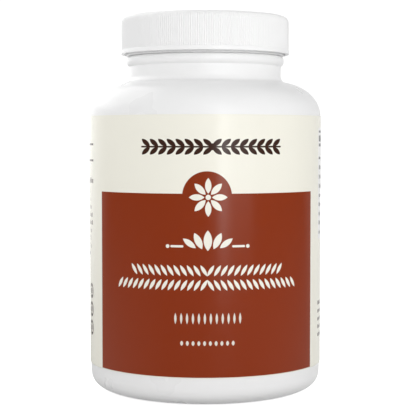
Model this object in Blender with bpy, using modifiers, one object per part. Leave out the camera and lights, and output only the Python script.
"""Supplement bottle: a white wide-mouth plastic bottle with a ribbed screw cap and a wrap-around label.

Units are metres and +Z is up. The origin is the centre of the standing ring, on the surface that the
bottle stands on. The front of the label faces -Y. Every turned piece shares the bottle's own axis, Z.
"""

import math

import bmesh
import bpy

# Facets of the round pieces
SEGMENTS = 48

# Body, with a heel that is fuller than an ellipse and a floor that domes up inside the standing ring
BODY_RADIUS = 0.0325
WALL = 0.0010
HEEL_TOP_Z = 0.0060
HEEL_EASE = 0.0003
HEEL_WIDTH = 0.0100
HEEL_FULLNESS = 2.6
RING_WIDTH = 0.0026
FLOOR_DOME = 0.0026

# Shoulder, from the label's panel to the foot of the neck
SHOULDER_Z = 0.0764
SHOULDER_RADIUS = 0.0324
SHOULDER_WIDTH = 0.0133
SHOULDER_HEIGHT = 0.0097
SHOULDER_FULLNESS = 2.1

# Neck, with a bead under the cap
NECK_RADIUS = 0.02125
BEAD_RADIUS = 0.02207
BEAD_Z = 0.09185
BEAD_HALF_HEIGHT = 0.00125
FINISH_RADIUS = 0.02095
BORE_RADIUS = 0.0188
LAND_Z = 0.1017
LIP_ROUND = 0.0004

# Thread of the neck and cap, one turn with a pitch of six threads to the inch
THREAD_PITCH = 0.0254 / 6
THREAD_TURNS = 1.0
THREAD_STEP = math.radians(7.5)
THREAD_FADE = math.radians(30)
THREAD_TIP = 0.00015
NECK_THREAD_HEIGHT = 0.00095
NECK_THREAD_Z = 0.0952
NECK_THREAD_BURIED = 0.0006
CAP_THREAD_HEIGHT = 0.00075
CAP_THREAD_CREST = 0.0214
CAP_THREAD_BELOW = 0.0017
CAP_THREAD_START_TURN = 0.4
CAP_THREAD_BURIED = 0.00035

# Cap
CAP_RIM_Z = 0.0939
CAP_TOP_Z = 0.1044
CAP_BORE_RADIUS = 0.02245
CAP_BAND_RADIUS = 0.0236
CAP_BAND_TOP_Z = 0.0951
CAP_BAND_TAPER = 0.0001
CAP_CHANNEL_RADIUS = 0.0230
CAP_CORNER_Z = 0.1026
CAP_CORNER_RADIUS = 0.02345
CAP_CORNER_ROUND = 0.0018
CAP_ROOF = 0.0013
CAP_RIM_CHAMFER = 0.0003

# Ribs round the cap's skirt
RIB_COUNT = 120
RIB_CREST_RADIUS = 0.0234
RIB_ROOT_RADIUS = 0.02312
RIB_RING_BORE = 0.0227
RIB_END_LAP = 0.00025

# Sealing disc inside the cap
LINER_RADIUS = 0.0219
LINER_THICKNESS = 0.0008

# Label, in a shallow panel of the body, with its two ends apart at the back
LABEL_TOP_Z = 0.0767
LABEL_BOTTOM_Z = 0.0081
LABEL_THICKNESS = 0.0002
LABEL_END_GAP = 0.0050
LABEL_TURN = math.radians(1.0)

# Gap between pieces that touch on the real bottle
GAP = 0.0003

PANEL_RADIUS = BODY_RADIUS - LABEL_THICKNESS - GAP
PANEL_TOP_Z = LABEL_TOP_Z + GAP
PANEL_BOTTOM_Z = LABEL_BOTTOM_Z - GAP
RING_OUTER_RADIUS = BODY_RADIUS - HEEL_EASE - HEEL_WIDTH
RING_INNER_RADIUS = RING_OUTER_RADIUS - RING_WIDTH


def remove_everything():
    """Empty the scene that Blender starts with."""
    for thing in list(bpy.data.objects):
        bpy.data.objects.remove(thing, do_unlink=True)


def new_collection(name):
    """A collection of the scene for the objects that belong together."""
    group = bpy.data.collections.new(name)
    bpy.context.scene.collection.children.link(group)
    return group


def plastic(name, colour, roughness):
    """A material with the finish of a moulded or printed plastic surface."""
    material = bpy.data.materials.new(name)
    material.use_nodes = True
    shader = material.node_tree.nodes["Principled BSDF"]
    shader.inputs["Base Color"].default_value = (*colour, 1.0)
    shader.inputs["Roughness"].default_value = roughness
    shader.inputs["Metallic"].default_value = 0.0
    return material


def swell(value, fullness):
    """The value, a sine or a cosine, raised to 2 / fullness with its sign kept."""
    return math.copysign(abs(value) ** (2 / fullness), value)


def arc(centre, size, start, end, steps, fullness=2.0):
    """Points (radius, height) of an ellipse arc about centre, from angle start to end in degrees.

    A fullness above 2 swells the ellipse towards the box around it.
    """
    points = []
    for i in range(steps + 1):
        angle = math.radians(start + (end - start) * i / steps)
        radius = centre[0] + size[0] * swell(math.cos(angle), fullness)
        height = centre[1] + size[1] * swell(math.sin(angle), fullness)
        points.append((radius, height))
    return points


def smooth(mesh):
    """Shade the round surfaces smooth and keep the real edges crisp."""
    mesh.shade_smooth()
    mesh.set_sharp_from_angle(angle=math.radians(35))


def turned(name, profile, group, closed=False):
    """Turn a profile of (radius, height) points about Z with a Screw modifier."""
    mesh = bpy.data.meshes.new(name)
    points = [(radius, 0.0, height) for radius, height in profile]
    edges = [(i, i + 1) for i in range(len(points) - 1)]
    if closed:
        edges.append((len(points) - 1, 0))
    mesh.from_pydata(points, edges, [])
    piece = bpy.data.objects.new(name, mesh)
    group.objects.link(piece)
    screw = piece.modifiers.new("Turn", "SCREW")
    screw.axis = "Z"
    screw.angle = math.tau
    screw.steps = SEGMENTS
    screw.render_steps = SEGMENTS
    screw.use_merge_vertices = True
    screw.merge_threshold = 0.00001
    screw.use_smooth_shade = True
    return piece


def curve_to_mesh(curve_object, group):
    """Replace a curve object by a mesh object whose end caps are welded on."""
    bpy.context.view_layer.update()
    evaluated = curve_object.evaluated_get(bpy.context.evaluated_depsgraph_get())
    mesh = bpy.data.meshes.new_from_object(evaluated)
    name = curve_object.name
    place = curve_object.matrix_world.copy()
    bpy.data.objects.remove(curve_object, do_unlink=True)
    welder = bmesh.new()
    welder.from_mesh(mesh)
    bmesh.ops.remove_doubles(welder, verts=welder.verts, dist=0.000001)
    welder.to_mesh(mesh)
    welder.free()
    smooth(mesh)
    piece = bpy.data.objects.new(name, mesh)
    piece.matrix_world = place
    group.objects.link(piece)
    return piece


def tool(piece):
    """Mark an object that only cuts or adds to another one."""
    piece.hide_render = True
    piece.display_type = "WIRE"
    return piece


def boolean(piece, other, operation):
    """Cut the other object out of the piece, or join it on."""
    modifier = piece.modifiers.new(other.name, "BOOLEAN")
    modifier.operation = operation
    modifier.object = other
    modifier.solver = "EXACT"


def thread(name, centre, buried, height, start_z, start_turn, group):
    """A round-topped right-hand thread: a tube on a helix that sinks into its wall at both ends."""
    curve = bpy.data.curves.new(name, "CURVE")
    curve.dimensions = "3D"
    curve.bevel_depth = height
    curve.bevel_resolution = 1
    curve.use_fill_caps = True
    sweep = math.tau * THREAD_TURNS
    count = round(sweep / THREAD_STEP) + 1
    spline = curve.splines.new("POLY")
    spline.points.add(count - 1)
    for i, point in enumerate(spline.points):
        swept = i * THREAD_STEP
        fade = min(1.0, swept / THREAD_FADE, (sweep - swept) / THREAD_FADE)
        radius = buried + (centre - buried) * fade
        angle = math.tau * start_turn + swept
        rise = THREAD_PITCH * swept / math.tau
        point.co = (radius * math.cos(angle), radius * math.sin(angle), start_z + rise, 1.0)
        point.radius = (THREAD_TIP + (height - THREAD_TIP) * fade) / height
    tube = bpy.data.objects.new(name, curve)
    group.objects.link(tube)
    return tool(curve_to_mesh(tube, group))


def shoulder_arc():
    """The shoulder's outer section, from the foot of the neck to the top of the label's panel."""
    centre = SHOULDER_RADIUS - SHOULDER_WIDTH
    foot = ((NECK_RADIUS - centre) / SHOULDER_WIDTH) ** (SHOULDER_FULLNESS / 2)
    end = ((PANEL_TOP_Z - SHOULDER_Z) / SHOULDER_HEIGHT) ** (SHOULDER_FULLNESS / 2)
    return arc(
        (centre, SHOULDER_Z), (SHOULDER_WIDTH, SHOULDER_HEIGHT),
        math.degrees(math.acos(foot)), math.degrees(math.asin(end)), 7, SHOULDER_FULLNESS)


def bottle_profile():
    """The bottle's section, from the middle of its floor up the inside and down the outside."""
    inner_radius = PANEL_RADIUS - WALL
    inside = arc((0.0, WALL), (RING_INNER_RADIUS + WALL, FLOOR_DOME), 90, 0, 4, HEEL_FULLNESS)
    inside += arc(
        (RING_OUTER_RADIUS, HEEL_TOP_Z), (inner_radius - RING_OUTER_RADIUS, HEEL_TOP_Z - WALL),
        -90, 0, 4, HEEL_FULLNESS)
    inside += arc(
        (BORE_RADIUS, SHOULDER_Z), (inner_radius - BORE_RADIUS, SHOULDER_HEIGHT - WALL),
        0, 90, 4, SHOULDER_FULLNESS)
    outside = [(BORE_RADIUS, LAND_Z), (FINISH_RADIUS - LIP_ROUND, LAND_Z)]
    outside += [(FINISH_RADIUS, LAND_Z - LIP_ROUND), (FINISH_RADIUS, BEAD_Z + BEAD_HALF_HEIGHT)]
    outside += arc((NECK_RADIUS, BEAD_Z), (BEAD_RADIUS - NECK_RADIUS, BEAD_HALF_HEIGHT), 90, -90, 6)
    outside += shoulder_arc()
    outside += [(PANEL_RADIUS, PANEL_TOP_Z), (PANEL_RADIUS, PANEL_BOTTOM_Z), (BODY_RADIUS, PANEL_BOTTOM_Z)]
    outside += arc((RING_OUTER_RADIUS, HEEL_TOP_Z), (HEEL_WIDTH, HEEL_TOP_Z), 0, -90, 7, HEEL_FULLNESS)
    outside += arc((0.0, 0.0), (RING_INNER_RADIUS, FLOOR_DOME), 0, 90, 4, HEEL_FULLNESS)
    return inside + outside


def make_bottle(parts, tools):
    """The blown bottle: one open shell with the neck's thread joined on."""
    bottle = turned("bottle", bottle_profile(), parts)
    neck_thread = thread(
        "neck_thread", FINISH_RADIUS, FINISH_RADIUS - NECK_THREAD_BURIED, NECK_THREAD_HEIGHT,
        NECK_THREAD_Z, 0.0, tools)
    boolean(bottle, neck_thread, "UNION")
    return bottle


def cap_profile():
    """The cap's section, from the middle of its roof's underside down the inside and round the rim."""
    bore = CAP_BORE_RADIUS
    inside = [(0.0, CAP_TOP_Z - CAP_ROOF), (bore, CAP_TOP_Z - CAP_ROOF)]
    inside += [(bore, CAP_RIM_Z + CAP_RIM_CHAMFER), (bore + CAP_RIM_CHAMFER, CAP_RIM_Z)]
    corner = (CAP_CORNER_RADIUS - CAP_CORNER_ROUND, CAP_TOP_Z - CAP_CORNER_ROUND)
    outside = [(0.0, CAP_TOP_Z)] + arc(corner, (CAP_CORNER_ROUND, CAP_CORNER_ROUND), 90, 0, 5)
    outside += [(CAP_CHANNEL_RADIUS, CAP_CORNER_Z), (CAP_CHANNEL_RADIUS, CAP_BAND_TOP_Z)]
    outside += [(CAP_BAND_RADIUS - CAP_BAND_TAPER, CAP_BAND_TOP_Z), (CAP_BAND_RADIUS, CAP_RIM_Z)]
    return outside + inside[::-1]


def rib_ring(tools):
    """The skirt's ribs: a toothed ring, drawn as an outline and extruded along the cap's axis."""
    top = CAP_CORNER_Z + RIB_END_LAP
    bottom = CAP_BAND_TOP_Z - RIB_END_LAP
    curve = bpy.data.curves.new("cap_ribs", "CURVE")
    curve.dimensions = "2D"
    curve.fill_mode = "BOTH"
    curve.extrude = (top - bottom) / 2
    corners = 2 * RIB_COUNT
    teeth = [RIB_CREST_RADIUS if i % 2 == 0 else RIB_ROOT_RADIUS for i in range(corners)]
    for radii in (teeth, [RIB_RING_BORE] * SEGMENTS):
        spline = curve.splines.new("POLY")
        spline.points.add(len(radii) - 1)
        spline.use_cyclic_u = True
        for i, radius in enumerate(radii):
            angle = math.tau * i / len(radii)
            spline.points[i].co = (radius * math.cos(angle), radius * math.sin(angle), 0.0, 1.0)
    ring = bpy.data.objects.new("cap_ribs", curve)
    ring.location.z = (top + bottom) / 2
    tools.objects.link(ring)
    return tool(curve_to_mesh(ring, tools))


def make_cap(parts, tools):
    """The moulded screw cap: a turned shell with its ribs and its inner thread joined on."""
    cap = turned("cap", cap_profile(), parts)
    start_z = NECK_THREAD_Z - CAP_THREAD_BELOW + THREAD_PITCH * CAP_THREAD_START_TURN
    cap_thread = thread(
        "cap_thread", CAP_THREAD_CREST + CAP_THREAD_HEIGHT, CAP_BORE_RADIUS + CAP_THREAD_BURIED,
        CAP_THREAD_HEIGHT, start_z, CAP_THREAD_START_TURN, tools)
    boolean(cap, cap_thread, "UNION")
    boolean(cap, rib_ring(tools), "UNION")
    return cap


def make_liner(parts):
    """The soft sealing disc between the cap's roof and the neck's land."""
    roof_z = CAP_TOP_Z - CAP_ROOF
    bpy.ops.mesh.primitive_cylinder_add(
        vertices=SEGMENTS, radius=LINER_RADIUS, depth=LINER_THICKNESS,
        location=(0.0, 0.0, roof_z - GAP - LINER_THICKNESS / 2))
    liner = bpy.context.object
    liner.name = "cap_liner"
    liner.data.name = "cap_liner"
    smooth(liner.data)
    for group in list(liner.users_collection):
        group.objects.unlink(liner)
    parts.objects.link(liner)
    return liner


def make_label(parts, tools):
    """The wrap-around label: a thin turned sleeve, open where its two ends stand apart."""
    inner = BODY_RADIUS - LABEL_THICKNESS
    ring = [(BODY_RADIUS, LABEL_TOP_Z), (BODY_RADIUS, LABEL_BOTTOM_Z)]
    ring += [(inner, LABEL_BOTTOM_Z), (inner, LABEL_TOP_Z)]
    label = turned("label", ring, parts, closed=True)
    bpy.ops.mesh.primitive_cube_add(size=1.0)
    slot = bpy.context.object
    slot.name = "label_end_gap"
    depth = BODY_RADIUS
    height = 2 * LABEL_TOP_Z
    for vertex in slot.data.vertices:
        vertex.co.x *= LABEL_END_GAP
        vertex.co.y *= depth
        vertex.co.z *= height
    slot.location = (-depth * math.sin(LABEL_TURN), depth * math.cos(LABEL_TURN), 0.0)
    slot.rotation_euler.z = LABEL_TURN
    for group in list(slot.users_collection):
        group.objects.unlink(slot)
    tools.objects.link(slot)
    boolean(label, tool(slot), "DIFFERENCE")
    return label


def main():
    remove_everything()
    parts = new_collection("supplement_bottle")
    tools = new_collection("cutters")
    white_body = plastic("bottle_plastic", (0.84, 0.84, 0.84), 0.42)
    white_cap = plastic("cap_plastic", (0.86, 0.86, 0.86), 0.45)
    foam = plastic("liner_foam", (0.88, 0.87, 0.84), 0.75)
    print_film = plastic("label_film", (0.24, 0.032, 0.01), 0.35)
    bottle = make_bottle(parts, tools)
    cap = make_cap(parts, tools)
    liner = make_liner(parts)
    label = make_label(parts, tools)
    finishes = ((bottle, white_body), (cap, white_cap), (liner, foam), (label, print_film))
    for piece, material in finishes:
        piece.data.materials.append(material)


main()
